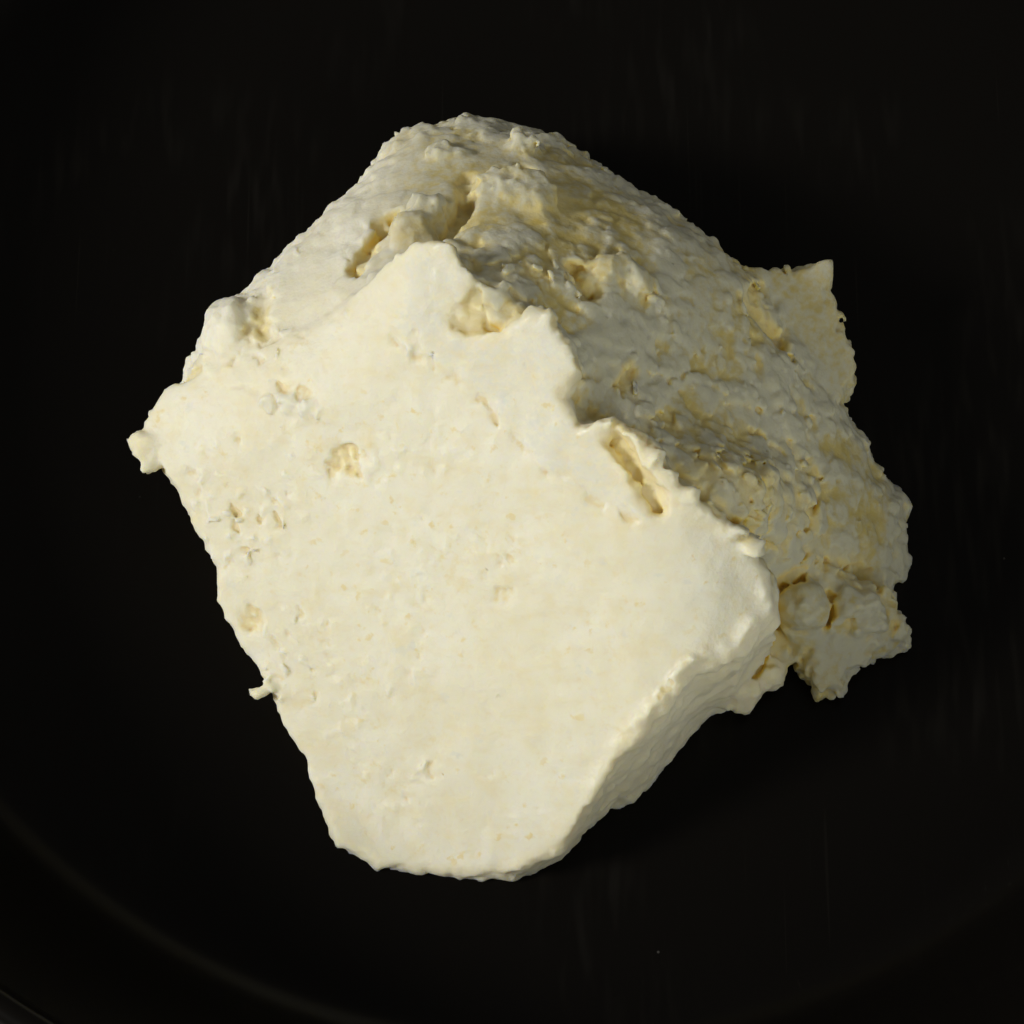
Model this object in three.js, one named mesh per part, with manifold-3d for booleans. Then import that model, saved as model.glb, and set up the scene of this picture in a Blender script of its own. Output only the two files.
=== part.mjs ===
// A bowl of ricotta: a low round bowl with one scooped lump of ricotta standing on its floor.
// Millimetres, +Z up. The origin is the middle of the bowl's underside, and the lump's broad
// spoon-cut face looks to the front left, towards -X and -Y.

import * as THREE from 'three';
import { ImprovedNoise } from 'three/addons/math/ImprovedNoise.js';
import { mergeVertices } from 'three/addons/utils/BufferGeometryUtils.js';
import Module from 'manifold-3d';

// The bowl's driving sizes
const bowl = {
  rimRadius: 104.5,
  height: 38,
  baseRadius: 76,
  footHeight: 2,
  bellyRadius: 93.2, // the outside, where the rounded foot runs out into the straight wall
  bellyHeight: 11,
  floorThickness: 5,
  creaseRadius: 86,
  creaseFillet: 5,
  wallThickness: 3.2,
  segments: 72,
  curveSteps: 6,
};

// The lump stands just clear of the bowl's floor, and its heights below are counted from its own foot.
const standGap = 0.3;
const lumpFoot = bowl.floorThickness + standGap;

// Plan outline of the block under the spoon-cut face, from its left tip along the ragged crest,
// down its right end and back along the front and the left edge.
const blockOutline = [
  [-44.9, -16.5], [-43.5, -12.5], [-34, -11.5], [-26, -8.8], [-20, -6.2], [-14.4, -4.4], [-10, -4.4],
  [-8, -9], [-8.8, -11], [-5.2, -13.8], [-3, -12.2], [0, -12.8], [4, -18.7], [1.9, -20.8],
  [3.4, -23.3], [7.4, -23], [11, -30.8], [16.8, -31.6], [21.6, -33.6], [25.2, -36.3], [26, -40.9],
  [21.4, -45.4], [15.9, -48.1], [7.4, -56.6], [1.9, -64.7], [-3.7, -67], [-8.7, -66.9], [-19.3, -64.9],
  [-24.2, -62], [-28.2, -52.1], [-37.8, -35.9], [-37.9, -33], [-43.2, -23],
];

// Plan outline of the rough heap that the block leans on
const heapOutline = [
  [-43, -13], [-40.5, -6], [-35, 1.8], [-24.2, 12.6], [-18.6, 23.2], [-9, 25.6], [2.3, 22.8], [13, 13.2],
  [25, 5], [30.6, -3], [34.6, -9.4], [38.2, -13.6], [43.6, -21], [42.6, -27.7], [40.4, -31.4], [30, -32.6],
  [24, -36], [10, -40], [-8, -28], [-32, -19],
];

// The thin smooth flake that stands out at the right, and the crumbly piece in front of it
const flakeOutline = [
  [24, 3.5], [33.9, 5.4], [34.6, 0], [37.2, -6.2], [35, -11], [28, -8.5],
];
const crumbOutline = [
  [27, -31], [40, -33.2], [42.2, -38], [34.9, -41.8], [34.7, -44], [32, -44.8], [29, -40], [27, -36],
];

// Each sloping top is a plane through a point, falling by so many degrees towards a compass direction
// that is counted from +X.
const spoonFace = { point: [-10.4, -5.4, 42], fall: 37.5, towards: 241 };
const rightSlope = { point: [5.8, -9.4, 33], fall: 36, towards: -9.5 };
const backLeft = { point: [-12, 4.9, 34], fall: 35, towards: 115 };
const backRight = { point: [-12, 4.9, 34], fall: 35, towards: 62 };
const leftFlank = { point: [-24.9, 3.5, 26], fall: 35.3, towards: 135 };
const flakeTop = { point: [31.4, -2.5, 13], fall: 20, towards: -40 };
const crumbTop = { point: [35, -37, 7], fall: 25, towards: -60 };

const faceBend = { from: 8, rate: 0.02 }; // the face curves down to the right of this X
const faceLead = 1.5; // how far the heap stays under the spoon-cut face
const toeHeight = 1.8; // the thin lip at the front, where the face runs down to the foot
const flakeThickness = 5;
const heapDraft = 0.12; // how much the heap's sides lean out towards its foot
const heapGirth = 12; // the height at which they stand on the outline

// How the block changes along X: each applies in full at the last X
const flankRoll = { from: -16, to: -28 }; // the face rolls over into the left flank
const undercut = { share: 0.34, from: -5, to: -20 }; // the left side leans in
const wallDraft = { share: 0.17, from: 3, to: 11, out: 12, gone: 20 }; // the right wall leans out, up to an X

// Rounding between faces, as the width of the blend
const edgeBlend = { crest: 1.2, flankRoll: 7, shoulder: 8, leftShoulder: 4, heapTop: 6, flake: 1.6, join: 2 };

// Round lumps on the foot, the edge and the heap: place and radius
const lumps = [
  { at: [29.6, -35.8, 8], radius: 3 },
  { at: [35, -35, 6.6], radius: 2.8 },
  { at: [38, -35.7, 5.4], radius: 2.2 },
  { at: [21.6, -44.2, 2.8], radius: 2.8 },
  { at: [25, -42, 2.6], radius: 2.5 },
  { at: [27.6, -39, 3], radius: 2.4 },
  { at: [-45.2, -18.6, 14], radius: 2.2 },
  { at: [-34.6, -7.4, 21.6], radius: 4.6 },
  { at: [6.5, -3.6, 30.6], radius: 3.4 },
  { at: [10.8, -5.2, 28], radius: 3.2 },
  { at: [-10, 13.8, 23], radius: 3.6 },
  { at: [-2.7, 13.7, 24], radius: 2.8 },
  { at: [-3.6, 3.6, 28.6], radius: 5 },
  { at: [13.6, -27, 24.6], radius: 5 },
  { at: [20.5, -29.6, 22.6], radius: 4.6 },
  { at: [12, -29, 30], radius: 2 },
];

// Clefts, each a round groove between two points
const clefts = [
  { from: [-20.5, -3.3, 33.5], to: [-17.5, 1.5, 32.5], radius: 2.4 },
  { from: [-12, -1.4, 36.5], to: [-9.6, 4.6, 34.5], radius: 2.4 },
  { from: [7.2, -25.4, 35.2], to: [10.8, -31.2, 32.8], radius: 1.6 },
  { from: [-9.8, -12.4, 38.6], to: [-5.4, -13.2, 39.6], radius: 1.5 },
  { from: [24.6, -3.4, 19.8], to: [27.4, -6.4, 17.4], radius: 2.4 },
];

// Curd relief: wavelengths with their depths, and how much of it each surface shows
const curds = [
  { size: 11, depth: 1.5, shift: 0 },
  { size: 5.2, depth: 1, shift: 40 },
];
const curdShare = { heap: 1, blockSide: 0.35, face: 0.06, flake: 0.3 };

// The skin is drawn out from this inner point. Most of its triangles go above the foot edge.
const heart = new THREE.Vector3(-6, -20, 9);
const skin = {
  detail: 20,
  reach: 85,
  step: 0.6,
  halvings: 12,
  footSink: 4,
  footDirection: -0.25,
  footShare: 0.07,
};

const { degToRad, clamp, lerp, smoothstep } = THREE.MathUtils;
const clay = new ImprovedNoise();

function planeDistance({ point, fall, towards }, x, y, z) {
  const tilt = degToRad(fall);
  const compass = degToRad(towards);
  const level = Math.cos(compass) * (x - point[0]) + Math.sin(compass) * (y - point[1]);
  return Math.sin(tilt) * level + Math.cos(tilt) * (z - point[2]);
}

// Distance from a closed plan outline, negative inside
function outlineDistance(outline, x, y) {
  let nearest = Infinity;
  let inside = false;
  for (let i = 0, j = outline.length - 1; i < outline.length; j = i, i += 1) {
    const [ax, ay] = outline[i];
    const [bx, by] = outline[j];
    const ex = bx - ax;
    const ey = by - ay;
    const along = clamp(((x - ax) * ex + (y - ay) * ey) / (ex * ex + ey * ey), 0, 1);
    nearest = Math.min(nearest, Math.hypot(x - ax - along * ex, y - ay - along * ey));
    if ((ay > y) !== (by > y) && x < ax + (ex * (y - ay)) / ey) inside = !inside;
  }
  return inside ? -nearest : nearest;
}

function grooveDistance({ from, to, radius }, point) {
  const axis = new THREE.Line3(new THREE.Vector3(...from), new THREE.Vector3(...to));
  const nearest = axis.closestPointToPoint(point, true, new THREE.Vector3());
  return nearest.distanceTo(point) - radius;
}

// The higher of two distances with the corner between them rounded, and the lower likewise
function blendMax(a, b, width) {
  const overlap = Math.max(width - Math.abs(a - b), 0);
  return Math.max(a, b) + (overlap * overlap) / (4 * width);
}

function blendMin(a, b, width) {
  return -blendMax(-a, -b, width);
}

function curdRelief({ x, y, z }) {
  let height = 0;
  for (const { size, depth, shift } of curds) {
    height += depth * clay.noise(x / size + shift, y / size + shift, z / size + shift);
  }
  return height;
}

// The whole lump as a distance in millimetres, negative inside
function lumpDistance(point) {
  const { x, y, z } = point;
  const relief = curdRelief(point);
  const bend = faceBend.rate * Math.max(x - faceBend.from, 0) ** 2;
  const face = planeDistance(spoonFace, x, y, z) + bend + curdShare.face * relief;
  const flank = planeDistance(leftFlank, x, y, z);
  const roll = smoothstep(-x, -flankRoll.from, -flankRoll.to);
  const rolledFace = lerp(face, blendMax(face, flank, edgeBlend.flankRoll), roll);
  const crown = blendMin(rolledFace, z - toeHeight, edgeBlend.join);
  const leanIn = undercut.share * smoothstep(-x, -undercut.from, -undercut.to);
  const leanOut = wallDraft.share * smoothstep(x, wallDraft.from, wallDraft.to)
    * smoothstep(-x, -wallDraft.gone, -wallDraft.out);
  const blockEdge = outlineDistance(blockOutline, x, y) + (leanIn - leanOut) * Math.max(-face, 0);
  const block = blendMax(blockEdge + curdShare.blockSide * relief, crown, edgeBlend.crest);

  let heap = blendMax(planeDistance(rightSlope, x, y, z), flank, edgeBlend.heapTop);
  for (const slope of [backLeft, backRight]) {
    heap = blendMax(heap, planeDistance(slope, x, y, z), edgeBlend.heapTop);
  }
  const heapSide = outlineDistance(heapOutline, x, y) + heapDraft * (z - heapGirth);
  heap = blendMax(heap, heapSide, lerp(edgeBlend.shoulder, edgeBlend.leftShoulder, roll));
  heap = Math.max(heap + curdShare.heap * relief, crown + faceLead * (1 - roll));

  const flakeFace = planeDistance(flakeTop, x, y, z);
  let flake = blendMax(outlineDistance(flakeOutline, x, y), flakeFace, edgeBlend.flake);
  flake = Math.max(flake, -flakeFace - flakeThickness) + curdShare.flake * relief;
  const crumbFace = planeDistance(crumbTop, x, y, z);
  let crumb = blendMax(outlineDistance(crumbOutline, x, y), crumbFace, edgeBlend.join);
  crumb += curdShare.heap * relief;

  let lump = blendMin(block, heap, edgeBlend.join);
  lump = blendMin(lump, Math.min(flake, crumb), edgeBlend.join);
  for (const { at, radius } of lumps) {
    const ball = point.distanceTo(new THREE.Vector3(...at)) - radius;
    lump = blendMin(lump, ball + curdShare.flake * relief, edgeBlend.join);
  }
  for (const cleft of clefts) {
    lump = blendMax(lump, -grooveDistance(cleft, point), edgeBlend.crest);
  }
  return Math.max(lump, -z - skin.footSink);
}

// Where a ray from the heart last leaves the lump
function surfaceAlong(direction) {
  const point = new THREE.Vector3();
  const distanceAt = (length) => lumpDistance(point.copy(direction).multiplyScalar(length).add(heart));
  let outside = skin.reach;
  while (distanceAt(outside - skin.step) > 0) outside -= skin.step;
  let inside = outside - skin.step;
  for (let i = 0; i < skin.halvings; i += 1) {
    const middle = (inside + outside) / 2;
    if (distanceAt(middle) > 0) outside = middle;
    else inside = middle;
  }
  distanceAt(inside);
  return point.clone();
}

// Turns a ball's direction so that only a small share of the directions looks down at the foot
function spread(direction) {
  const edge = 2 * skin.footShare - 1;
  const { z } = direction;
  const low = skin.footDirection;
  const drop = z > edge
    ? 1 - ((1 - z) * (1 - low)) / (1 - edge)
    : low - ((edge - z) * (1 + low)) / (1 + edge);
  const ring = Math.sqrt(Math.max(1 - drop * drop, 0));
  const flat = Math.hypot(direction.x, direction.y) || 1;
  return new THREE.Vector3((ring * direction.x) / flat, (ring * direction.y) / flat, drop);
}

function weld(geometry) {
  geometry.deleteAttribute('normal');
  geometry.deleteAttribute('uv');
  return mergeVertices(geometry);
}

function toSolid(wasm, geometry) {
  const welded = weld(geometry);
  return new wasm.Manifold(new wasm.Mesh({
    numProp: 3,
    vertProperties: Float32Array.from(welded.attributes.position.array),
    triVerts: Uint32Array.from(welded.index.array),
  }));
}

function fromSolid(solid) {
  const { vertProperties, triVerts } = solid.getMesh();
  const geometry = new THREE.BufferGeometry();
  geometry.setAttribute('position', new THREE.BufferAttribute(vertProperties, 3));
  geometry.setIndex(new THREE.BufferAttribute(triVerts, 1));
  geometry.computeVertexNormals();
  return geometry;
}

// The lump's skin, cut off flat at its foot
async function lumpGeometry() {
  const ball = weld(new THREE.IcosahedronGeometry(1, skin.detail));
  const places = ball.attributes.position;
  const direction = new THREE.Vector3();
  for (let i = 0; i < places.count; i += 1) {
    direction.fromBufferAttribute(places, i).normalize();
    const { x, y, z } = surfaceAlong(spread(direction));
    places.setXYZ(i, x, y, z);
  }
  const wasm = await Module();
  wasm.setup();
  const under = new THREE.BoxGeometry(2 * skin.reach, 2 * skin.reach, skin.reach);
  under.translate(heart.x, heart.y, -skin.reach / 2);
  return fromSolid(toSolid(wasm, ball).subtract(toSolid(wasm, under)));
}

// The bowl's section, from the middle of its underside round the rim to the middle of its floor
function bowlSection() {
  const wallLean = (bowl.rimRadius - bowl.bellyRadius) / (bowl.height - bowl.bellyHeight);
  const rimCurve = bowl.wallThickness / 2;
  const rimMiddle = bowl.rimRadius - rimCurve;
  const wallTop = bowl.height - rimCurve;
  const path = new THREE.Path();
  path.moveTo(0, 0);
  path.lineTo(bowl.baseRadius, 0);
  path.lineTo(bowl.baseRadius + bowl.footHeight / 2, bowl.footHeight);
  path.quadraticCurveTo(
    bowl.bellyRadius - wallLean * (bowl.bellyHeight - bowl.footHeight),
    bowl.footHeight,
    bowl.bellyRadius,
    bowl.bellyHeight,
  );
  path.lineTo(bowl.rimRadius, wallTop);
  path.absarc(rimMiddle, wallTop, rimCurve, 0, Math.PI, false);
  path.lineTo(bowl.creaseRadius + wallLean * bowl.creaseFillet, bowl.floorThickness + bowl.creaseFillet);
  path.quadraticCurveTo(
    bowl.creaseRadius,
    bowl.floorThickness,
    bowl.creaseRadius - bowl.creaseFillet,
    bowl.floorThickness,
  );
  path.lineTo(0, bowl.floorThickness);
  return path.getPoints(bowl.curveSteps);
}

function bowlGeometry() {
  return new THREE.LatheGeometry(bowlSection(), bowl.segments).rotateX(Math.PI / 2);
}

const glaze = new THREE.MeshStandardMaterial({ color: 0x0c0a08, roughness: 0.22, metalness: 0 });
const ricottaCream = new THREE.MeshStandardMaterial({ color: 0xe3dbbd, roughness: 0.6, metalness: 0 });

const bowlMesh = new THREE.Mesh(bowlGeometry(), glaze);
bowlMesh.name = 'bowl';

const ricottaMesh = new THREE.Mesh(await lumpGeometry(), ricottaCream);
ricottaMesh.name = 'ricotta';
ricottaMesh.position.z = lumpFoot;

const bowlOfRicotta = new THREE.Group();
bowlOfRicotta.add(bowlMesh, ricottaMesh);

export default bowlOfRicotta;
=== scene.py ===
from math import cos, pi, radians, sin

import bpy
import numpy as np
from mathutils import Euler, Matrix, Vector


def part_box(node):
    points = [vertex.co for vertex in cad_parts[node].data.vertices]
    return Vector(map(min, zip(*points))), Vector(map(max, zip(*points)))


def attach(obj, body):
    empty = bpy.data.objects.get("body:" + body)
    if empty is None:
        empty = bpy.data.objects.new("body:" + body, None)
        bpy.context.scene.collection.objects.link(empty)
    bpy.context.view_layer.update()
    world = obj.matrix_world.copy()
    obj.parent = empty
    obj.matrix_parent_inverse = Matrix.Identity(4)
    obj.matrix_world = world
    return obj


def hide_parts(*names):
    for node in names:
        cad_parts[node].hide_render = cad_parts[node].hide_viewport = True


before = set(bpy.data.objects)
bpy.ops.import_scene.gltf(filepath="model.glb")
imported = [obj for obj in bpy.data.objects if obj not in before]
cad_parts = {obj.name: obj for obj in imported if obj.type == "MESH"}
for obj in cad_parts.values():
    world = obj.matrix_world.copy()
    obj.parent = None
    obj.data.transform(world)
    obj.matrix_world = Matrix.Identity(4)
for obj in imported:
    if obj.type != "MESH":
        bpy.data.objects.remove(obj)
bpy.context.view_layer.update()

mm = 0.001
lumpLow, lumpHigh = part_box("ricotta")
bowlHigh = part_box("bowl")[1]


# Shader maths: a socket that adds nodes when it is used in an expression
class Wire:
    def __init__(self, finish, socket):
        self.finish = finish
        self.socket = socket

    def maths(self, operation, first, second):
        isVector = self.socket.type == "VECTOR"
        kind = "ShaderNodeVectorMath" if isVector else "ShaderNodeMath"
        return self.finish.node(kind, {"operation": operation}, {0: first, 1: second})

    def __add__(self, other):
        return self.maths("ADD", self, other)

    def __radd__(self, other):
        return self.maths("ADD", other, self)

    def __sub__(self, other):
        return self.maths("SUBTRACT", self, other)

    def __rsub__(self, other):
        return self.maths("SUBTRACT", other, self)

    def __mul__(self, other):
        return self.maths("MULTIPLY", self, other)

    def __rmul__(self, other):
        return self.maths("MULTIPLY", other, self)


class Finish:
    def __init__(self, name):
        self.material = bpy.data.materials.new(name)
        self.material.use_nodes = True
        self.tree = self.material.node_tree
        self.shader = self.tree.nodes["Principled BSDF"]

    def node(self, kind, settings=None, sockets=None, output=0):
        made = self.tree.nodes.new(kind)
        for name, value in (settings or {}).items():
            setattr(made, name, value)
        for key, value in (sockets or {}).items():
            self.plug(made.inputs[key], value)
        return Wire(self, made.outputs[output])

    def plug(self, socket, value):
        if isinstance(value, Wire):
            self.tree.links.new(value.socket, socket)
        else:
            socket.default_value = value

    def feed(self, **sockets):
        for name, value in sockets.items():
            self.plug(self.shader.inputs[name.replace("_", " ")], value)

    def place(self, stretch=(1, 1, 1)):       # the object's own coordinates, in millimetres
        here = self.node("ShaderNodeTexCoord", output="Object")
        return here * tuple(part / mm for part in stretch)

    def grain(self, size, detail=2, stretch=(1, 1, 1)):       # soft noise about 0.5, grains of this size
        return self.node("ShaderNodeTexNoise", {}, {
            "Vector": self.place(stretch), "Scale": 1 / size, "Detail": detail, "Roughness": 0.55})

    def step(self, value, low, high):       # 0 below low, 1 above high, eased between
        return self.node("ShaderNodeMapRange", {"interpolation_type": "SMOOTHSTEP"}, {
            "Value": value, "From Min": low, "From Max": high})

    def mix(self, factor, first, second):
        sockets = {0: factor, 6: first, 7: second}
        return self.node("ShaderNodeMix", {"data_type": "RGBA"}, sockets, output=2)

    def painted(self, name):       # a value stored on the mesh
        return self.node("ShaderNodeAttribute", {"attribute_name": name}, output="Fac")

    def bump(self, height, distance, strength):       # distance in millimetres
        sockets = {"Height": height, "Distance": distance * mm, "Strength": strength}
        return self.node("ShaderNodeBump", {}, sockets)


def addMesh(name, points, loops, starts):
    mesh = bpy.data.meshes.new(name)
    mesh.vertices.add(len(points))
    mesh.vertices.foreach_set("co", np.asarray(points, np.float32).ravel())
    mesh.loops.add(len(loops))
    mesh.loops.foreach_set("vertex_index", np.asarray(loops, np.int32))
    mesh.polygons.add(len(starts))
    mesh.polygons.foreach_set("loop_start", np.asarray(starts, np.int32))
    mesh.update(calc_edges=True)
    mesh.validate()
    mesh.shade_smooth()
    piece = bpy.data.objects.new(name, mesh)
    bpy.context.collection.objects.link(piece)
    return piece


# The camera looks down into the bowl, from the front
view = dict(lens=100, sensor=36, near=0.01, lean=20, distance=0.342, target=(-0.0039, -0.0211, 0.005))

def addCamera():
    camera = bpy.data.objects.new("camera", bpy.data.cameras.new("camera"))
    bpy.context.collection.objects.link(camera)
    camera.data.lens = view["lens"]
    camera.data.sensor_width = view["sensor"]
    camera.data.clip_start = view["near"]
    turn = Euler((radians(view["lean"]), 0, 0))
    camera.rotation_euler = turn
    camera.location = Vector(view["target"]) + turn.to_matrix() @ Vector((0, 0, view["distance"]))
    bpy.context.scene.camera = camera


# A soft key from the left, a weak broad fill from the front right, and a dim room
lights = dict(
    key=dict(at=(-1.66, -0.28, 1.14), size=0.44, watts=31.6, tint=(1.0, 0.985, 0.96)),
    fill=dict(at=(0.5, -0.8, 0.62), size=0.8, watts=4.5, tint=(0.98, 1.0, 0.92)),
)
lightsAim = (0, -0.02, 0.02)
room = dict(colour=(1.0, 0.985, 0.93, 1), strength=0.16)

def addLights():
    middle = Vector(lightsAim)
    for name, light in lights.items():
        lamp = bpy.data.lights.new(name, "AREA")
        lamp.size = light["size"]
        lamp.energy = light["watts"]
        lamp.color = light["tint"]
        holder = bpy.data.objects.new(name, lamp)
        holder.location = light["at"]
        holder.rotation_euler = (middle - Vector(light["at"])).to_track_quat("-Z", "Y").to_euler()
        bpy.context.collection.objects.link(holder)
    world = bpy.data.worlds.new("room")
    world.use_nodes = True
    backdrop = world.node_tree.nodes["Background"]
    backdrop.inputs["Color"].default_value = room["colour"]
    backdrop.inputs["Strength"].default_value = room["strength"]
    bpy.context.scene.world = world
    bpy.context.scene.view_settings.view_transform = "Standard"


# A plain pale table top, seen only from the side
floorPlan = dict(
    half=1.5, colour=(0.62, 0.61, 0.59, 1), shade=(0.56, 0.55, 0.53, 1), cloudSize=90, roughness=0.7,
)

def addFloor():
    half = floorPlan["half"]
    corners = [(-half, -half, 0), (half, -half, 0), (half, half, 0), (-half, half, 0)]
    floor = addMesh("floor", corners, range(4), [0])
    paint = Finish("floorPaint")
    cloud = paint.grain(floorPlan["cloudSize"], 3)
    paint.feed(
        Base_Color=paint.mix(cloud, floorPlan["colour"], floorPlan["shade"]),
        Roughness=floorPlan["roughness"],
    )
    floor.data.materials.append(paint.material)


# The bowl: a turned section with a rounded rim, finer than its solid
bowl = dict(
    baseRadius=76, footHeight=2, bellyRadius=93.2, bellyHeight=11,
    floorTop=5, creaseRadius=86, creaseFillet=5, wall=3.2,
    turns=288, curveSteps=14, floorRings=12,
)

def curve(start, control, end, steps):       # points after start along a quadratic curve
    t = np.linspace(0, 1, steps + 1)[1:, None]
    start, control, end = (np.array(point, float) for point in (start, control, end))
    return (1 - t) ** 2 * start + 2 * t * (1 - t) * control + t * t * end

def bowlSection():
    rimRadius = bowlHigh[0] / mm
    height = bowlHigh[2] / mm
    half = bowl["wall"] / 2
    lean = (rimRadius - bowl["bellyRadius"]) / (height - bowl["bellyHeight"])
    base, foot, steps = bowl["baseRadius"], bowl["footHeight"], bowl["curveSteps"]
    belly = (bowl["bellyRadius"], bowl["bellyHeight"])
    low = (belly[0] - lean * (belly[1] - foot), foot)
    crease, fillet, top = bowl["creaseRadius"], bowl["creaseFillet"], bowl["floorTop"]
    parts = [[(base * ring / 6, 0) for ring in range(7)], [(base + 0.4, 0.3), (base + foot / 2, foot)]]
    parts.append(curve(parts[-1][-1], low, belly, steps))
    arc = np.linspace(0, pi, steps)
    wallTop = height - half
    parts.append([(belly[0] + lean * s, belly[1] + s) for s in np.linspace(3, wallTop - belly[1] - 1, 6)])
    parts.append(np.stack([rimRadius - half + half * np.cos(arc), wallTop + half * np.sin(arc)], 1))
    inner = (crease + lean * fillet, top + fillet)
    rimInner = (rimRadius - 2 * half, wallTop)
    parts.append([np.array(rimInner) + (np.array(inner) - rimInner) * s for s in np.linspace(0.05, 1, 8)])
    parts.append(curve(inner, (crease, top), (crease - fillet, top), steps))
    parts.append([(ring, top) for ring in np.linspace(crease - fillet, 0, bowl["floorRings"])[1:]])
    return np.concatenate([np.asarray(part, float) for part in parts])

def addBowl():
    section = bowlSection() * mm
    rings = section[1:-1]       # the two ends lie on the axis
    turns = bowl["turns"]
    angle = np.arange(turns) * 2 * pi / turns
    ringPoints = np.stack([
        np.outer(rings[:, 0], np.cos(angle)), np.outer(rings[:, 0], np.sin(angle)),
        np.repeat(rings[:, 1:], turns, 1)], -1).reshape(-1, 3)
    bottom, top = len(ringPoints), len(ringPoints) + 1
    points = np.concatenate([ringPoints, [(0, 0, section[0, 1]), (0, 0, section[-1, 1])]])
    here = np.arange(turns)
    after = (here + 1) % turns
    quads = []
    for ring in range(len(rings) - 1):
        low, high = ring * turns, (ring + 1) * turns
        quads.append(np.stack([low + here, low + after, high + after, high + here], 1))
    last = (len(rings) - 1) * turns
    fans = [np.stack([np.full(turns, bottom), after, here], 1),
            np.stack([last + here, last + after, np.full(turns, top)], 1)]
    quads = np.concatenate(quads)
    fans = np.concatenate(fans)
    loops = np.concatenate([quads.ravel(), fans.ravel()])
    starts = np.concatenate([np.arange(len(quads)) * 4, quads.size + np.arange(len(fans)) * 3])
    piece = addMesh("glazedBowl", points, loops, starts)
    piece.data.materials.append(glazeFinish())
    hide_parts("bowl")
    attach(piece, "root")
    print("bowl:", len(piece.data.polygons), "faces")


# Near-black glaze, with wiped smears, a few specks of dust and hair scratches
glaze = dict(
    black=(0.0040, 0.0034, 0.0027, 1), bloom=(0.0085, 0.0075, 0.0060, 1), dust=(0.10, 0.095, 0.085, 1),
    smearSize=38, wipeSize=1.6, wipeStretch=(1, 0.16, 0.4), speckSize=5.5, speckReach=0.035, speckPatch=11,
    scratchSize=0.5, scratchStretch=(1, 0.012, 1), scratchPatch=26, roughness=0.3, specular=0.07,
)

def glazeFinish():
    finish = Finish("blackGlaze")
    cloud = finish.step(finish.grain(glaze["smearSize"], 2), 0.48, 0.75)
    wiped = finish.step(finish.grain(glaze["wipeSize"], 1, glaze["wipeStretch"]), 0.45, 0.8)
    smear = cloud * wiped
    speck = finish.node("ShaderNodeTexVoronoi", {"feature": "F1"}, {
        "Vector": finish.place(), "Scale": 1 / glaze["speckSize"], "Randomness": 1.0}, output="Distance")
    rare = finish.step(finish.grain(glaze["speckPatch"], 1), 0.56, 0.62)
    dust = (1 - finish.step(speck, glaze["speckReach"] * 0.5, glaze["speckReach"])) * rare
    scratch = finish.step(finish.grain(glaze["scratchSize"], 0, glaze["scratchStretch"]), 0.73, 0.80)
    scratch = scratch * finish.step(finish.grain(glaze["scratchPatch"], 1), 0.5, 0.62)
    coat = finish.mix(smear, glaze["black"], glaze["bloom"])
    coat = finish.mix(scratch * 0.5, coat, glaze["bloom"])
    finish.feed(
        Base_Color=finish.mix(dust * 0.5, coat, glaze["dust"]),
        Roughness=glaze["roughness"] + 0.25 * smear + 0.3 * dust,
        Specular_IOR_Level=glaze["specular"],
    )
    return finish.material


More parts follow.
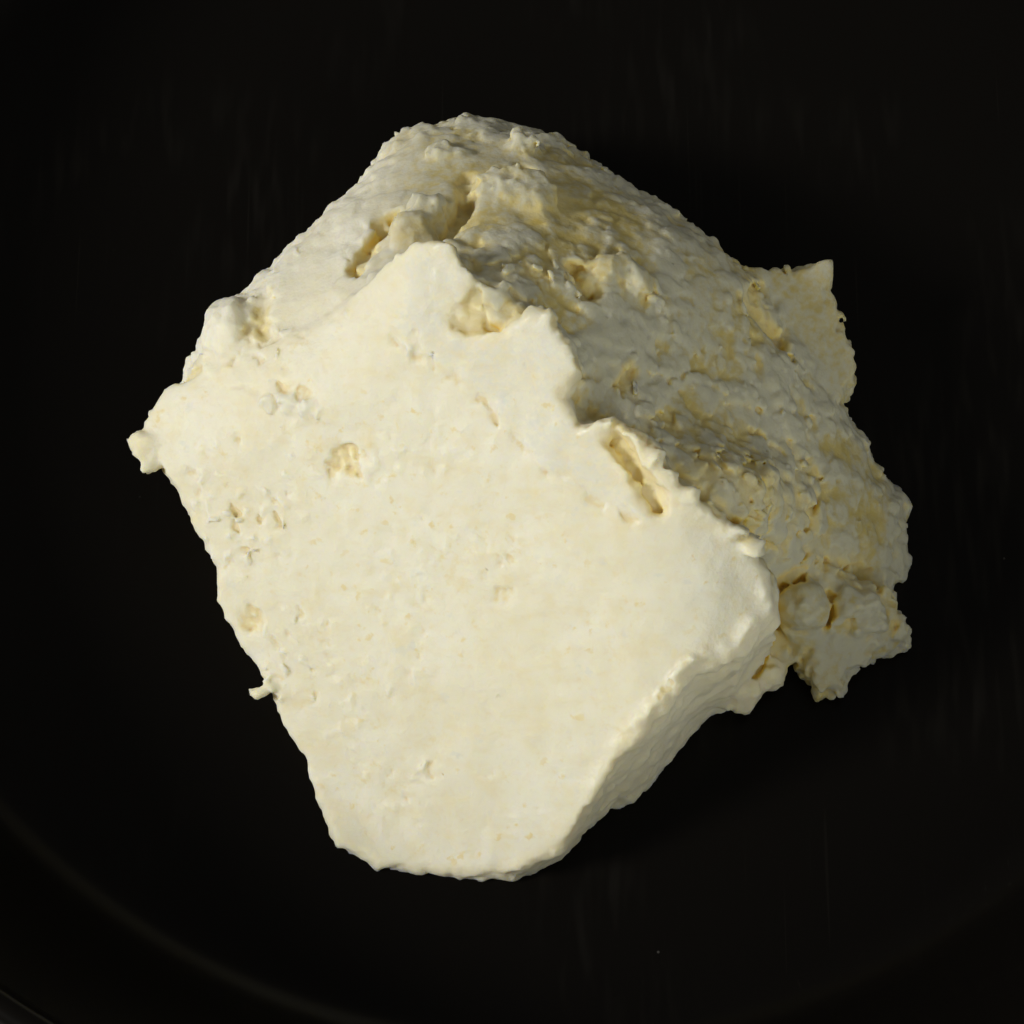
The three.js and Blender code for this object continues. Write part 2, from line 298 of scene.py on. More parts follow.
# The lump of ricotta, as distances in millimetres from its outlines and sloping tops.
# Heights count from the bowl's floor, and a distance is negative inside.
lump = dict(
    # plan outline of the block under the spoon-cut face: left tip, crest, right end, front, left edge
    blockOutline=[
        (-47.2, -17.2), (-44.4, -12.4), (-34, -11.5), (-26, -8.8), (-20, -6.2), (-14.4, -4.4),
        (-10, -4.4), (-8, -9), (-8.8, -11), (-5.2, -13.8), (-3, -12.2), (0, -12.8), (4, -18.7),
        (1.9, -20.8), (3.4, -23.3), (7.2, -22.8), (10.2, -25.2), (13, -28.8), (17, -31.2),
        (21.6, -33.6), (25.2, -36.3), (26, -40.9), (21.4, -45.4), (15.9, -48.1), (7.4, -56.6),
        (1.9, -64), (-3.7, -66), (-8.7, -66.2), (-19.3, -64.9), (-24.2, -62), (-28.2, -52.1),
        (-37.8, -35.9), (-37.9, -33), (-43.6, -23),
    ],
    # the rough heap that the block leans on, the flake at the right and the crumbly piece before it
    heapOutline=[
        (-43, -13), (-40.5, -6), (-35, 1.8), (-24.2, 12.6), (-18.6, 23.2), (-9, 25.6), (2.3, 22.8),
        (13, 13.2), (25, 5), (30.6, -3), (34.6, -9.4), (38.2, -13.6), (43.6, -21), (42.6, -27.7),
        (40.4, -31.4), (30, -32.6), (24, -36), (10, -40), (-8, -28), (-32, -19),
    ],
    flakeOutline=[
        (24, 3.5), (33.9, 5.4), (34.6, 0), (37.2, -6.2), (35, -11), (28, -8.5),
    ],
    crumbOutline=[
        (27, -31), (40, -33.2), (42.2, -38), (34.9, -41.8), (34.7, -44), (32, -44.8), (29, -40),
        (27, -36),
    ],
    # sloping tops: a point, the fall in degrees and the way it falls, counted from +X
    spoonFace=((-10.4, -5.4, 42), 37.5, 241),
    rightSlope=((5.8, -9.4, 33), 36, -9.5),
    backLeft=((-12, 4.9, 34), 35, 100),
    backRight=((-12, 4.9, 34), 35, 62),
    leftFlank=((-24.9, 3.5, 26), 35.3, 141),
    flakeTop=((31.4, -2.5, 13), 20, -40),
    crumbTop=((35, -37, 7), 25, -60),
    shoulder=((14, -28.5, 17.5), (13, 8.5, 12.5)),       # the heap swells here, close behind the crest
    faceBend=0.026, bendFrom=7, faceLead=1.5, toeHeight=1.8, undercut=0.34, wallDraft=0.17,
    flakeThickness=5, heapDraft=0.12, heapGirth=12,
    # a second facet between this line across the face and the crest
    facetLine=[
        (-17, -13.6), (-11.8, -16.4), (-6.9, -20.2), (-4.7, -23.3), (1.3, -28.6), (7.8, -32.3),
        (12.2, -34),
    ],
    # stuck-on lumps: place and radii
    lumps=[
        ((29.6, -36.0, 9.4), (3.0, 2.8, 3.0)), ((35.0, -35.6, 8.2), (1.8, 1.6, 1.8)),
        ((37.0, -35.0, 7.7), (1.5, 1.4, 1.6)), ((34.2, -37.4, 7.3), (1.3, 1.3, 1.3)),
        ((36.4, -37.6, 6.9), (1.4, 1.2, 1.3)), ((38.6, -36.4, 6.4), (1.3, 1.3, 1.4)),
        ((22.2, -44.4, 2.8), (2.8, 2.4, 2.8)), ((25.8, -42.2, 2.8), (2.4, 2.2, 2.5)),
        ((27.6, -39.0, 3), (2.4, 2.2, 2.4)), ((-45.9, -19.4, 18.0), (1.8, 1.5, 1.7)),
        ((-45.2, -21.0, 17.0), (1.1, 1.2, 1.4)), ((-31.4, -45.3, 7.0), (1.4, 0.6, 0.8)),
        ((-35.4, -7.9, 22.4), (3.8, 4.6, 4.2)), ((-11.4, 13.8, 25.2), (2.4, 1.5, 1.5)),
        ((-2.7, 14.8, 24.2), (2.0, 1.9, 1.7)), ((-0.8, 2.7, 33.0), (1.0, 0.9, 0.9)),
        ((6.4, -3.6, 30.4), (2.0, 1.8, 2.8)), ((8.8, -2.8, 29.2), (1.8, 1.7, 2.6)),
        ((10.5, -4.4, 28.2), (1.9, 2.2, 2.6)), ((12.2, -6.6, 26.6), (1.8, 2.2, 2.2)),
        ((-6.8, -12.0, 36.6), (1.5, 1.0, 1.1)), ((-4.9, -11.3, 37.0), (1.0, 1.3, 1.1)),
        ((9.8, -25.6, 35.0), (1.0, 1.3, 1.1)), ((11.4, -27.4, 34.3), (1.0, 1.4, 1.1)),
        ((13.0, -29.4, 33.1), (1.2, 1.2, 1.1)), ((14.8, -30.8, 32.2), (1.3, 0.8, 0.9)),
        ((17.0, -31.8, 30.2), (0.8, 0.6, 0.7)), ((18.6, -32.7, 29.5), (0.7, 0.6, 0.6)),
        ((20.4, -33.8, 28.5), (0.9, 0.7, 0.7)), ((22.2, -35.2, 27.0), (0.9, 0.8, 0.7)),
        ((-15.0, 0.8, 31.6), (3.0, 2.8, 2.6)), ((-13.4, 3.6, 31.0), (2.2, 1.8, 2.0)),
        ((-3.6, 5.2, 29.4), (5.2, 5.0, 2.0)), ((-11.0, -2.6, 34.4), (1.6, 1.0, 1.2)),
    ],
    # clefts: from, to, half width and half depth
    clefts=[
        ((-21.6, -3.2, 31.6), (-17.6, 3.8, 29.8), 1.2, 2.6),
        ((-11.0, 0.2, 33.2), (-9.2, 5.0, 31.0), 1.3, 3.2),
        ((-9.2, 5.0, 31.0), (-9.0, 9.4, 28.8), 0.9, 1.7),
        ((-2.6, 11.4, 26.6), (-1.4, 10.6, 27.0), 0.8, 1.2),
        ((7.2, -25.3, 34.6), (11.8, -31.6, 32.0), 0.9, 2.4),
        ((-9.8, -12.6, 38.2), (-6.2, -13.4, 38.0), 0.9, 1.6),
        ((-32.2, -3.6, 26.6), (-32.5, -9.6, 27.4), 1.2, 1.6),
        ((3.0, -4.4, 34.4), (4.6, -7.0, 33.4), 1.3, 2.4),
        ((24.4, -2.6, 19.0), (27.6, -5.6, 16.6), 1.5, 2.6),
        ((8.2, -17.2, 31.4), (9.8, -15.2, 31.0), 0.9, 1.8),
        ((32.4, -34.6, 8.8), (32.8, -37.0, 7.6), 0.6, 1.0),
        ((27.2, -34.0, 10.0), (30.6, -32.9, 9.8), 0.5, 0.9),
        ((25.4, -41.0, 5.6), (23.6, -43.2, 5.4), 0.6, 0.9),
    ],
    # calmer places on the torn heap: place, reach and the share of relief left
    calm=[
        ((17, 2, 25), 10, 0.4), ((38, -23, 9), 8, 0.6), ((-29, 1, 25), 15, 0.5),
        ((-6, 9, 29), 14, 0.3), ((-20, 12, 22), 9, 0.35), ((-15, 0.4, 32), 4.5, 0.2),
        ((33, -38, 8), 8, 0.8),
    ],
    # pits in the spoon-cut face, and crumbs where the depth is negative: place, reach and depth
    pits=[
        ((-22.3, -24.2, 24.9), 2.3, 1.3), ((-23.7, -25.0, 24.0), 1.3, 0.9),
        ((-19.6, -24.7, 25.6), 1.1, -0.3), ((-29.3, -16.4, 27.6), 1.2, 0.8),
        ((-27.3, -16.9, 28.0), 1.3, 0.8), ((-31.2, -17.5, 26.1), 1.0, -0.7),
        ((-29.2, -17.9, 26.6), 1.1, -0.8), ((-26.9, -18.6, 27.0), 1.3, -0.8),
        ((-25.5, -19.0, 27.2), 0.8, -0.5), ((-16.8, -13.6, 34.1), 0.8, 0.6),
        ((-14.9, -14.4, 34.3), 1.1, -0.6), ((-14.6, -13.5, 35.0), 1.1, 0.6),
        ((-12.9, -15.6, 34.2), 0.8, 0.6), ((-4.7, -35.9, 23.6), 1.2, 0.4),
        ((-4.9, -38.8, 21.6), 1.3, 0.5), ((-12.9, -55.3, 7.6), 0.9, 0.8),
        ((-13.8, -54.8, 7.6), 0.8, -0.5), ((-6.4, -55.8, 9.6), 0.5, 0.5),
        ((-33.9, -38.3, 11.2), 1.8, 0.9), ((-25.5, -40.1, 13.1), 0.9, 0.5),
        ((-25.4, -41.2, 12.3), 0.8, 0.4), ((-28.2, -38.1, 13.4), 0.8, 0.5),
        ((-35.0, -20.9, 22.4), 1.0, 0.6), ((-31.1, -19.7, 24.7), 0.6, 0.4),
        ((-40.5, -23.1, 18.8), 0.8, 0.5), ((15.5, -45.5, 24.5), 0.8, 0.5),
        ((-14.1, -30.7, 23.7), 0.6, 0.4), ((13.6, -49.8, 20.6), 1.6, 1.0),
        ((-40.6, -14.4, 24.6), 1.1, -0.7), ((-36.0, -13.2, 27.2), 1.3, -0.6),
    ],
    # balls of curd: cell size and rise, then in cells their stray and their least and greatest radius
    curdBalls=((2.7, 0.4), (1.35, 0.2)),
    curdStray=0.32, curdLeast=0.25, curdMost=0.7,
    # hollows: how far off the surface they are looked for, and the weight of each look
    hollowLooks=((0.7, 0.3), (1.5, 0.35), (3.2, 0.35)),
    # the grid: its finest step, how near the surface it gets finer, and the room left round the lump
    step=0.23, bands=(2.8, 0.7), margin=2.0,
    partSize=400000, mostFaces=190000, seed=41, noiseShift=7.31,
)

noiseDraw = np.random.default_rng(lump["seed"])
noiseOrder = noiseDraw.permutation(256).astype(np.int32)
noiseSlopes = noiseDraw.normal(size=(256, 3)).astype(np.float32)
noiseSlopes /= np.linalg.norm(noiseSlopes, axis=1, keepdims=True)

def cellNumber(x, y, z):
    return noiseOrder[(noiseOrder[(noiseOrder[x & 255] + y) & 255] + z) & 255]

def softNoise(p, size, shift=0):       # gradient noise, about -1 to 1
    q = p / np.float32(size) + np.float32(shift * lump["noiseShift"])
    cell = np.floor(q).astype(np.int32)
    part = q - cell
    ease = part ** 3 * (part * (part * 6 - 15) + 10)
    total = np.zeros(q.shape[1], np.float32)
    for corner in np.ndindex(2, 2, 2):
        slope = noiseSlopes[cellNumber(*(cell[a] + corner[a] for a in range(3)))]
        dot = sum(slope[:, a] * (part[a] - corner[a]) for a in range(3))
        for a in range(3):
            dot = dot * (ease[a] if corner[a] else 1 - ease[a])
        total += dot
    return total * 1.6

def curdsAt(p, size, shift):       # balls of curd, one to each cell and of many sizes, negative inside
    q = p / np.float32(size) + np.float32(shift * lump["noiseShift"])
    cell = np.floor(q - 0.5).astype(np.int32)
    part = q - 0.5 - cell
    nearest = np.full(q.shape[1], 2, np.float32)
    spread = lump["curdMost"] - lump["curdLeast"]
    for corner in np.ndindex(2, 2, 2):
        number = cellNumber(*(cell[a] + corner[a] for a in range(3)))
        stray = lump["curdStray"] * noiseSlopes[number]
        radius = lump["curdLeast"] + spread * number / np.float32(255)
        away = np.sqrt(sum((part[a] - corner[a] - stray[:, a]) ** 2 for a in range(3)))
        nearest = blendMin(nearest, away - radius, 0.2)
    return nearest * size

def ramp(value, start, end):       # 0 at start, 1 at end, eased between
    share = np.clip((value - start) / (end - start), 0, 1)
    return share * share * (3 - 2 * share)

def blendMax(a, b, width):       # the higher of two, with the corner rounded
    over = np.maximum(width - np.abs(a - b), 0)
    return np.maximum(a, b) + over * over / (4 * width)

def blendMin(a, b, width):
    return -blendMax(-a, -b, width)

def topAt(name, p):
    (px, py, pz), fall, towards = lump[name]
    level = cos(radians(towards)) * (p[0] - px) + sin(radians(towards)) * (p[1] - py)
    return sin(radians(fall)) * level + cos(radians(fall)) * (p[2] - pz)

def faceAt(p):
    return topAt("spoonFace", p) + lump["faceBend"] * np.maximum(p[0] - lump["bendFrom"], 0) ** 2

def outlineAt(name, p):
    x, y = p[0], p[1]
    points = lump[name]
    nearest = np.full(x.shape, 1e9, np.float32)
    inside = np.zeros(x.shape, bool)
    for (ax, ay), (bx, by) in zip(points, points[-1:] + points[:-1]):
        ex, ey = bx - ax, by - ay
        dx, dy = x - ax, y - ay
        along = np.clip((dx * ex + dy * ey) / (ex * ex + ey * ey), 0, 1)
        np.minimum(nearest, (dx - along * ex) ** 2 + (dy - along * ey) ** 2, out=nearest)
        if ey:
            inside ^= ((ay > y) != (by > y)) & (dx < ex * dy / ey)
    return np.where(inside, -1, 1).astype(np.float32) * np.sqrt(nearest)

def ovalAt(p, middle, radii):
    gap = np.sqrt(sum(((p[a] - middle[a]) / radii[a]) ** 2 for a in range(3))) - 1
    return gap * min(radii)

def grooveAt(p, start, end, width, depth):       # deeper than wide, negative inside
    run = np.subtract(end, start)
    along = np.clip(sum((p[a] - start[a]) * run[a] for a in range(3)) / (run @ run), 0, 1)
    squash = (1, 1, width / depth)
    away = np.sqrt(sum(((p[a] - start[a] - along * run[a]) * squash[a]) ** 2 for a in range(3)))
    return away - width

def squareAway(p, middle):       # the square of the distance from a place
    return sum((p[a] - middle[a]) ** 2 for a in range(3))

def closeTo(p, middle, reach):       # the numbers of the points within reach of a place
    return np.flatnonzero(squareAway(p, middle) < reach * reach)

def drift(p, size, reach, shift):       # moves points about, so that round forms turn ragged
    return p + reach * np.stack([softNoise(p, size, shift + axis) for axis in range(3)])

def raggedAt(p, crest):       # how far the block's edge wanders: most where it is torn, along the crest
    torn = 0.9 * np.abs(softNoise(p, 4.6, 3)) + 0.5 * softNoise(p, 1.9, 4) + 0.2 * softNoise(p, 0.9, 5)
    plain = 0.4 * softNoise(p, 6.5, 15) + 0.3 * softNoise(p, 2.1, 16) + 0.2 * softNoise(p, 0.9, 17)
    return plain + crest * (torn - 0.3 - plain)

def blockAt(p):       # the block under the spoon-cut face, and its top, crest, left roll and cut share
    x, y, z = p
    face = faceAt(p)
    crest = ramp(y + 0.9 * x, -19, -13)       # 1 along the torn crest and behind it
    merged = ramp(x, -14, -27)       # 1 at the left, where the face rolls over into the flank
    leanIn = lump["undercut"] * ramp(x, -5, -20)
    leanOut = lump["wallDraft"] * ramp(x, 3, 11) * ramp(x, 20, 12)
    edge = outlineAt("blockOutline", p)
    side = edge + (leanIn - leanOut) * np.maximum(-face, 0)
    ragged = np.zeros_like(side)
    rim = np.flatnonzero(np.abs(side) < 5)
    ragged[rim] = raggedAt(p[:, rim], crest[rim])
    crown = face + merged * (blendMax(face, topAt("leftFlank", p), 9) - face)
    crown = blendMin(crown, z - lump["toeHeight"], 2)
    burr = np.exp(-((side + ragged + 1.2) / 0.8) ** 2)       # a raised rim along the cut wall
    burr = burr * ramp(x, 2, 8) * (1 - crest)
    crown = crown - 0.7 * burr * np.clip(0.7 + softNoise(p, 3.4, 26) + 0.5 * softNoise(p, 1.2, 62), 0, 1.4)
    block = blendMax(side + ragged, crown, 1.0 + 1.2 * crest + 0.8 * ramp(x, 14, 22))
    onTop = np.maximum(ramp(edge + ragged, -0.2, -1.5), merged)
    cut = onTop * ramp(crown, -1.8, -0.9) * (1 - 0.4 * ramp(face, 0, -8))
    return block, crown, crest, merged, cut

def heapAt(p, crown, merged):       # the torn heap, kept below the spoon-cut face
    heap = topAt("rightSlope", p)
    for name in ("backLeft", "backRight", "leftFlank"):
        heap = blendMax(heap, topAt(name, p), 6)
    heap = blendMin(heap, ovalAt(p, *lump["shoulder"]), 6)
    side = outlineAt("heapOutline", p) + lump["heapDraft"] * (p[2] - lump["heapGirth"])
    side = side + 0.6 + 0.7 * softNoise(p, 3.2, 60) + 0.5 * softNoise(p, 1.4, 61)
    return np.maximum(blendMax(heap, side, 8 - 4 * merged), crown + lump["faceLead"] * (1 - merged))

def flakeAt(p):
    top = topAt("flakeTop", p)
    edge = outlineAt("flakeOutline", p) + 0.8 * softNoise(p, 3.4, 18) + 0.9 * softNoise(p, 1.3, 19)
    return np.maximum(blendMax(edge, top, 1.2), -top - lump["flakeThickness"])

def crumbAt(p):
    edge = outlineAt("crumbOutline", p) + 0.7 * softNoise(p, 2.6, 20) + 0.6 * softNoise(p, 1.1, 63)
    return blendMax(edge, topAt("crumbTop", p), 2)

def addLumps(p, shaken, body, cut, torn):       # the large ones are smoother
    for middle, radii in lump["lumps"]:
        here = closeTo(p, middle, max(radii) + 3)
        gap = ovalAt(shaken[:, here], middle, radii)
        on = ramp(body[here] - gap, 0, 1.5)
        cut[here] *= 1 - on
        rough = 0.9 if max(radii) < 2.5 else 0.35
        torn[here] += (rough - torn[here]) * on
        body[here] = blendMin(body[here], gap, 0.7)

def carveClefts(p, shaken, body, cut, torn):
    inCleft = np.zeros_like(body)
    for start, end, width, depth in lump["clefts"]:
        half = np.linalg.norm(np.subtract(end, start)) / 2
        here = closeTo(p, np.add(start, end) / 2, half + depth + 3)
        gap = grooveAt(shaken[:, here], start, end, width, depth)
        rough = ramp(gap, 1.44, 0.24)
        cut[here] *= 1 - rough
        torn[here] = np.maximum(torn[here], 0.2 * rough)
        inCleft[here] = np.maximum(inCleft[here], ramp(gap, 0.84, -0.56))
        body[here] = blendMax(body[here], -gap, width)
    return inCleft

def lumpForm(p):       # the plain form, and how cut, torn, sliced or deep in a cleft each place is
    block, crown, crest, merged, cut = blockAt(p)
    heap = heapAt(p, crown, merged)
    flake = flakeAt(p)
    crumb = crumbAt(p)
    body = blendMin(blendMin(block, heap, 1.6), np.minimum(flake, crumb), 1.6)
    main = np.minimum(block, heap)
    inBlock = ramp(heap - block, -1.5, 1.5)
    inFlake = ramp(main - flake, -1.5, 1.5)
    inCrumb = ramp(main - crumb, -1.5, 1.5)
    sliced = inBlock * (1 - crest) * (1 - inCrumb)
    torn = (1 - 0.75 * sliced) * (1 - 0.35 * inBlock) * (1 - 0.8 * inFlake)
    for at, reach, share in lump["calm"]:
        away = squareAway(p, at) / reach ** 2
        torn = torn * (1 - (1 - share) * np.exp(-away * away))
    shaken = drift(drift(p, 2.2, 0.55, 30), 0.9, 0.25, 34)
    addLumps(p, shaken, body, cut, torn)
    inCleft = carveClefts(p, shaken, body, cut, torn)
    return body, cut, torn * (1 - cut), sliced * (1 - cut), inCleft

def withCurds(p, body, torn):       # the torn heap: hollows between clumps, with balls of curd on them
    q = drift(p, 1.5, 0.35, 14)
    clumps = ramp(softNoise(drift(p, 4, 1.0, 11), 5.2, 5), -0.3, 0.3)
    body = body + torn * (0.4 + 0.5 * softNoise(p, 13, 1) - 0.5 * clumps)
    for size, rise in lump["curdBalls"]:
        balls = blendMax(curdsAt(q, size, 6), body - rise * torn, 0.9 * rise)
        body = blendMin(body, balls, 0.02 + 1.1 * rise * torn)
    return body - 0.06 * torn * softNoise(q, 0.7, 8)

def cutRelief(p):       # the spoon's drag, fine crumbs and pits, the second facet and the marked places
    q = drift(p, 1.6, 0.5, 40)
    relief = 0.12 * softNoise(p, 7, 21) + 0.13 * softNoise(q, 2.6, 22) + 0.06 * softNoise(q, 1.2, 25)
    crumbly = ramp(softNoise(p, 9, 24), -0.35, 0.65) * ramp(p[0], 6, -8)
    crumbly *= 1 + 1.4 * ramp(p[0], -22, -32)       # most at the left
    relief += crumbly * 0.17 * ramp(softNoise(q, 1.5, 23), 0.35, 0.6)
    relief -= crumbly * 0.2 * ramp(softNoise(q, 1.2, 27), 0.3, 0.6)
    facetX, facetY = np.transpose(lump["facetLine"])
    past = p[1] - np.interp(p[0], facetX, facetY)
    along = ramp(p[0], facetX[0], facetX[0] + 2) * ramp(p[0], facetX[-1], facetX[-1] - 2)
    relief -= 0.25 * along * ramp(past, -0.45, 0.45)
    relief += 0.5 * along * np.exp(-past * past * 2) * ramp(softNoise(q, 1.9, 29), 0, 0.4)
    q = drift(q, 1.3, 0.8, 44)
    crumbs = 0.75 + 0.8 * softNoise(p, 0.8, 28)
    for at, reach, depth in lump["pits"]:
        here = closeTo(q, at, 1.1 * reach)
        away = squareAway(q[:, here], at) / reach ** 2
        relief[here] += 0.65 * depth * ramp(away, 1.2, 0.2) * crumbs[here]
    return relief

def slicedRelief(p):       # thin layers along the cut wall
    layers = np.stack([p[0] * 0.12, p[1] * 0.12, faceAt(p)])
    drag = 0.26 * softNoise(layers, 1.7, 50) + 0.2 * softNoise(layers, 0.8, 51)
    return drag + 0.3 * softNoise(p, 6, 53) + 0.15 * softNoise(p, 1.3, 52)

def lumpField(p):
    body, cut, torn, sliced, _ = lumpForm(p)
    for share, relief in ((cut, cutRelief), (sliced, slicedRelief)):
        here = np.flatnonzero(share > 0.02)
        body[here] += share[here] * relief(p[:, here])
    here = np.flatnonzero(torn > 0.02)
    body[here] = withCurds(p[:, here], body[here], torn[here])
    return body

def inParts(work, p):       # spares memory
    size = lump["partSize"]
    return np.concatenate([work(p[:, i:i + size]) for i in range(0, p.shape[1], size)])

def between(values, axis):       # twice as many values along one axis
    low = np.take(values, range(values.shape[axis] - 1), axis)
    high = np.take(values, range(1, values.shape[axis]), axis)
    finer = np.repeat(values, 2, axis)
    finer = np.take(finer, range(finer.shape[axis] - 1), axis)
    odd = [slice(None)] * 3
    odd[axis] = slice(1, None, 2)
    finer[tuple(odd)] = (low + high) / 2
    return finer

def sampleLump():       # the field on a grid that gets finer near the surface only
    top = (lumpHigh[2] - lumpLow[2]) / mm
    low = np.array([lumpLow[0] / mm, lumpLow[1] / mm, 0]) - lump["margin"]
    high = np.array([lumpHigh[0] / mm, lumpHigh[1] / mm, top]) + lump["margin"]
    step = lump["step"] * 2 ** len(lump["bands"])
    axes = [np.arange(low[a], high[a] + step, step) for a in range(3)]
    grid = np.stack(np.meshgrid(*axes, indexing="ij"))
    places = grid.reshape(3, -1).astype(np.float32)
    values = inParts(lambda p: lumpForm(p)[0], places).reshape(grid.shape[1:])
    for band in lump["bands"]:
        step = step / 2
        for axis in range(3):
            values = between(values, axis)
        near = np.argwhere(np.abs(values) < band)
        values[tuple(near.T)] = inParts(lumpField, (low[:, None] + step * near.T).astype(np.float32))
        print("ricotta: field on", len(near), "places,", round(step, 2), "mm apart")
    height = low[2] + step * np.arange(values.shape[2], dtype=np.float32)
    return np.maximum(values, -height), low, step

def skinOf(values, low, step):       # one point in each cell that the surface crosses, joined by quads
    inside = values < 0
    shape = tuple(n - 1 for n in values.shape)
    count = np.zeros(shape, np.uint8)
    corners = list(np.ndindex(2, 2, 2))
    for dx, dy, dz in corners:
        count += inside[dx:dx + shape[0], dy:dy + shape[1], dz:dz + shape[2]]
    cells = np.argwhere((count > 0) & (count < 8))
    known = [values[tuple((cells + corner).T)] for corner in corners]
    total = np.zeros((len(cells), 3))
    hits = np.zeros(len(cells))
    for a, first in enumerate(corners):
        for b, second in enumerate(corners):
            run = np.subtract(second, first)
            if run.sum() != 1 or run.min() < 0:
                continue
            crossed = (known[a] < 0) != (known[b] < 0)
            share = np.where(crossed, known[a] / np.where(crossed, known[a] - known[b], 1), 0)
            total += crossed[:, None] * (first + share[:, None] * run)
            hits += crossed
    points = low + step * (cells + total / hits[:, None])
    number = np.full(shape, -1, np.int32)
    number[tuple(cells.T)] = np.arange(len(cells))
    quads = []
    for a in range(3):
        b, c = (a + 1) % 3, (a + 2) % 3
        before = np.take(inside, range(inside.shape[a] - 1), a)
        after = np.take(inside, range(1, inside.shape[a]), a)
        edges = np.argwhere(before != after)
        across = edges[:, [b, c]]
        edges = edges[((across > 0) & (across < (shape[b], shape[c]))).all(1)]
        ring = []
        for backB, backC in ((1, 1), (0, 1), (0, 0), (1, 0)):
            cell = edges.copy()
            cell[:, b] -= backB
            cell[:, c] -= backC
            ring.append(number[tuple(cell.T)])
        ring = np.stack(ring, 1)
        outward = before[tuple(edges.T)]
        quads.append(np.where(outward[:, None], ring, ring[:, ::-1]))
    return points, np.concatenate(quads)

def mainPiece(points, quads):       # drops every scrap that isn't joined to the largest skin
    label = np.arange(len(points))
    first, second = quads[:, [0, 1, 2]].ravel(), quads[:, [1, 2, 3]].ravel()
    while True:
        low = np.minimum(label[first], label[second])
        fresh = label.copy()
        np.minimum.at(fresh, first, low)
        np.minimum.at(fresh, second, low)
        fresh = fresh[fresh]
        if np.array_equal(fresh, label):
            break
        label = fresh
    names, sizes = np.unique(label, return_counts=True)
    keep = label == names[sizes.argmax()]
    renumber = np.cumsum(keep) - 1
    return points[keep], renumber[quads[keep[quads[:, 0]]]]

def thinOut(piece, most):       # fewer faces where the surface is flat
    faces = 2 * len(piece.data.polygons)
    if faces > most:
        piece.modifiers.new("thin", "DECIMATE").ratio = most / faces
        ready = piece.evaluated_get(bpy.context.evaluated_depsgraph_get())
        thinned = bpy.data.meshes.new_from_object(ready)
        piece.modifiers.clear()
        piece.data = thinned
    piece.data.validate()       # drops the few faces that thinning leaves doubled
    piece.data.shade_smooth()

def paintValues(piece, foot):       # how cut, sliced, torn (for painted shade), hollow, damp and deep each point is, and its relief, for painted pit and crumb shade
    mesh = piece.data
    count = len(mesh.vertices)
    points = np.empty(count * 3, np.float32)
    normals = np.empty(count * 3, np.float32)
    mesh.vertices.foreach_get("co", points)
    mesh.vertices.foreach_get("normal", normals)
    p = points.reshape(-1, 3).T / mm
    p[2] -= foot / mm
    out = normals.reshape(-1, 3).T
    form, cut, _, sliced, inCleft = inParts(lambda q: np.stack(lumpForm(q), 1), p).T
    hollow = np.zeros(count, np.float32)
    for reach, weight in lump["hollowLooks"]:
        hollow += weight * np.clip(1 - inParts(lumpField, p + out * reach) / reach, 0, 1.5)
    values = dict(
        # painted shade on torn places, fading out towards the lit left flank
        cut=cut, sliced=sliced, tornShadeShare=(1 - cut - sliced) * ramp(p[0], -24, -12),
        hollow=np.maximum(hollow, 0.85 * inCleft), damp=cut * ramp(p[0] + 0.45 * p[1], -24, -10),
        reliefShade=cut * inParts(cutRelief, p), depth=-form,
    )
    for name, value in values.items():
        mesh.attributes.new(name, "FLOAT", "POINT").data.foreach_set("value", value.astype(np.float32))

def addRicotta():
    foot = bowl["floorTop"] * mm
    points, quads = mainPiece(*skinOf(*sampleLump()))
    points = points * mm + (0, 0, foot)
    piece = addMesh("ricottaLump", points, quads.ravel(), np.arange(len(quads)) * 4)
    print("ricotta: skin of", len(quads), "quads")
    thinOut(piece, lump["mostFaces"])
    paintValues(piece, foot)
    piece.data.materials.append(curdFinish())
    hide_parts("ricotta")
    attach(piece, "root")
    print("ricotta:", len(piece.data.polygons), "faces")


# Curd: cream where it is cut; where it is torn, whitish tops and golden gaps, darkened as painted shade;
# painted golden shade deep in the hollows
curd = dict(
    # the fleck colour is partly real flecks and streaks, partly painted shade in pits and on the cut wall
    cream=(0.83, 0.785, 0.605, 1), pale=(0.86, 0.825, 0.67, 1), fleckAndPitShade=(0.80, 0.675, 0.35, 1),
    # painted shade: the grey is the shadowed sides of crumbs, top darkens the torn curd tops, the gap
    # colour is golden shade between curds
    crumbShadeGrey=(0.74, 0.735, 0.65, 1), top=(0.53, 0.51, 0.385, 1), curdGapShade=(0.52, 0.415, 0.13, 1),
    # painted shade for the hollows, yellow and a deeper gold
    hollowShadeYellow=(0.74, 0.62, 0.28, 1), hollowShadeGold=(0.76, 0.55, 0.09, 1),
    scatter=(1.0, 0.88, 0.42), scatterReach=1.6, scatterShare=0.8,
    roughness=0.8, specular=0.3, ior=1.42, coat=0.25, coatRoughness=0.12,
    bumpSize=0.7, bumpDepth=0.15, bumpStrength=0.6,
)

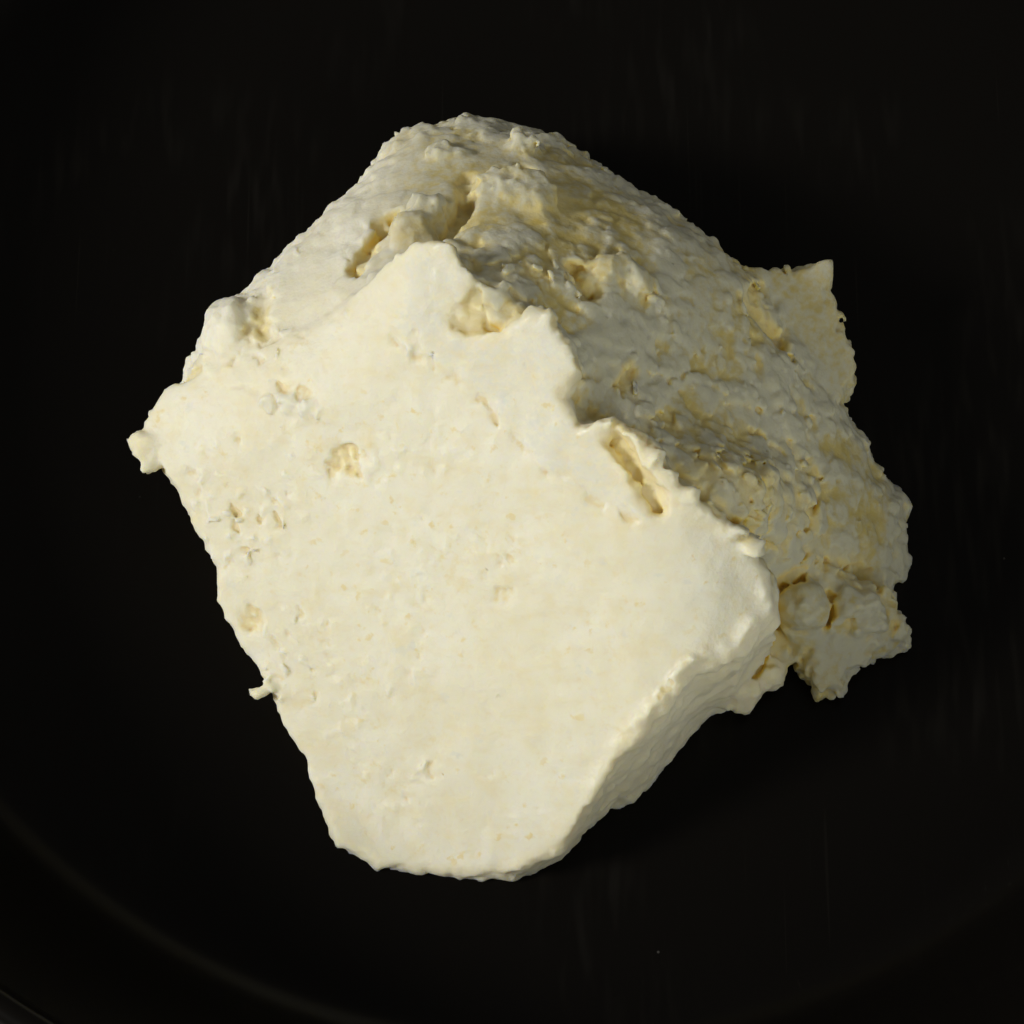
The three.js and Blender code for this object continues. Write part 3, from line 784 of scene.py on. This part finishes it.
def curdFinish():
    finish = Finish("ricottaCurd")
    names = ("cut", "sliced", "tornShadeShare", "hollow", "damp", "reliefShade", "depth")
    cut, sliced, tornShadeShare, hollow, damp, reliefShade, depth = (finish.painted(name) for name in names)
    broad = finish.grain(9, 2)
    body = finish.mix(finish.step(broad, 0.35, 0.7), curd["cream"], curd["pale"])
    body = finish.mix(finish.step(finish.grain(2.4, 3), 0.45, 0.75) * 0.3 * cut, body, curd["fleckAndPitShade"])
    pitted = finish.step(finish.grain(1.4, 3), 0.60, 0.72) * finish.step(broad, 0.42, 0.6) * cut
    # painted shade: pits in the cut face tinted yellow
    body = finish.mix(pitted * 0.8, body, curd["fleckAndPitShade"])
    patchy = finish.grain(6, 2)
    # painted shade: grey spots on the cut face for the shadowed sides of raised crumbs
    crumbShadeSpots = finish.step(finish.grain(1.9, 3), 0.60, 0.70) * finish.step(patchy, 0.45, 0.6) * cut
    body = finish.mix(crumbShadeSpots * 0.5, body, curd["crumbShadeGrey"])
    mottled = reliefShade + 0.5 * (finish.grain(0.6, 1) - 0.5)       # raised crumbs painted grey as their shade, sunken pits painted yellow as theirs
    # painted shade: raised crumbs tinted grey
    body = finish.mix(finish.step(0 - mottled, 0.1, 0.35) * 0.5, body, curd["crumbShadeGrey"])
    # painted shade: sunken pits tinted yellow
    body = finish.mix(finish.step(mottled, 0.08, 0.42) * 0.7, body, curd["fleckAndPitShade"])
    drag = finish.grain(1.5, 2, (0.2, 1, 1))       # faint streaks that the spoon left
    body = finish.mix(finish.step(drag, 0.5, 0.75) * 0.2 * cut, body, curd["fleckAndPitShade"])
    # painted shade: the cut wall, which stands in shade, tinted warmer yellow
    body = finish.mix(sliced * 0.35, body, curd["fleckAndPitShade"])
    uneven = depth + 1.1 * (finish.grain(0.9, 3) - 0.5)       # tops of curds, and the gaps between them, for painted shade
    # painted shade: darker curd tops and golden gaps between curds on the torn surface
    tornShadeTone = finish.mix(finish.step(uneven, -0.3, 0.4), curd["top"], curd["curdGapShade"])
    body = finish.mix(tornShadeShare * 0.95, body, tornShadeTone)
    # painted shade: hollows and clefts tinted yellow, the deepest ones gold
    body = finish.mix(finish.step(hollow, 0.25, 0.85) * 0.9, body, curd["hollowShadeYellow"])
    body = finish.mix(finish.step(hollow, 0.7, 1.15) * 0.9, body, curd["hollowShadeGold"])
    wet = damp * finish.step(patchy, 0.35, 0.6)
    finish.feed(
        Base_Color=body,
        Roughness=curd["roughness"] - 0.28 * cut - 0.2 * wet,
        Coat_Weight=wet * curd["coat"],
        Coat_Roughness=curd["coatRoughness"],
        Normal=finish.bump(finish.grain(curd["bumpSize"], 2), curd["bumpDepth"], curd["bumpStrength"]),
        Subsurface_Weight=curd["scatterShare"],
        Subsurface_Radius=curd["scatter"],
        Subsurface_Scale=curd["scatterReach"] * mm,
        Specular_IOR_Level=curd["specular"],
        IOR=curd["ior"],
    )
    return finish.material


addCamera()
addLights()
addFloor()
print("stage ready")
addBowl()
addRicotta()
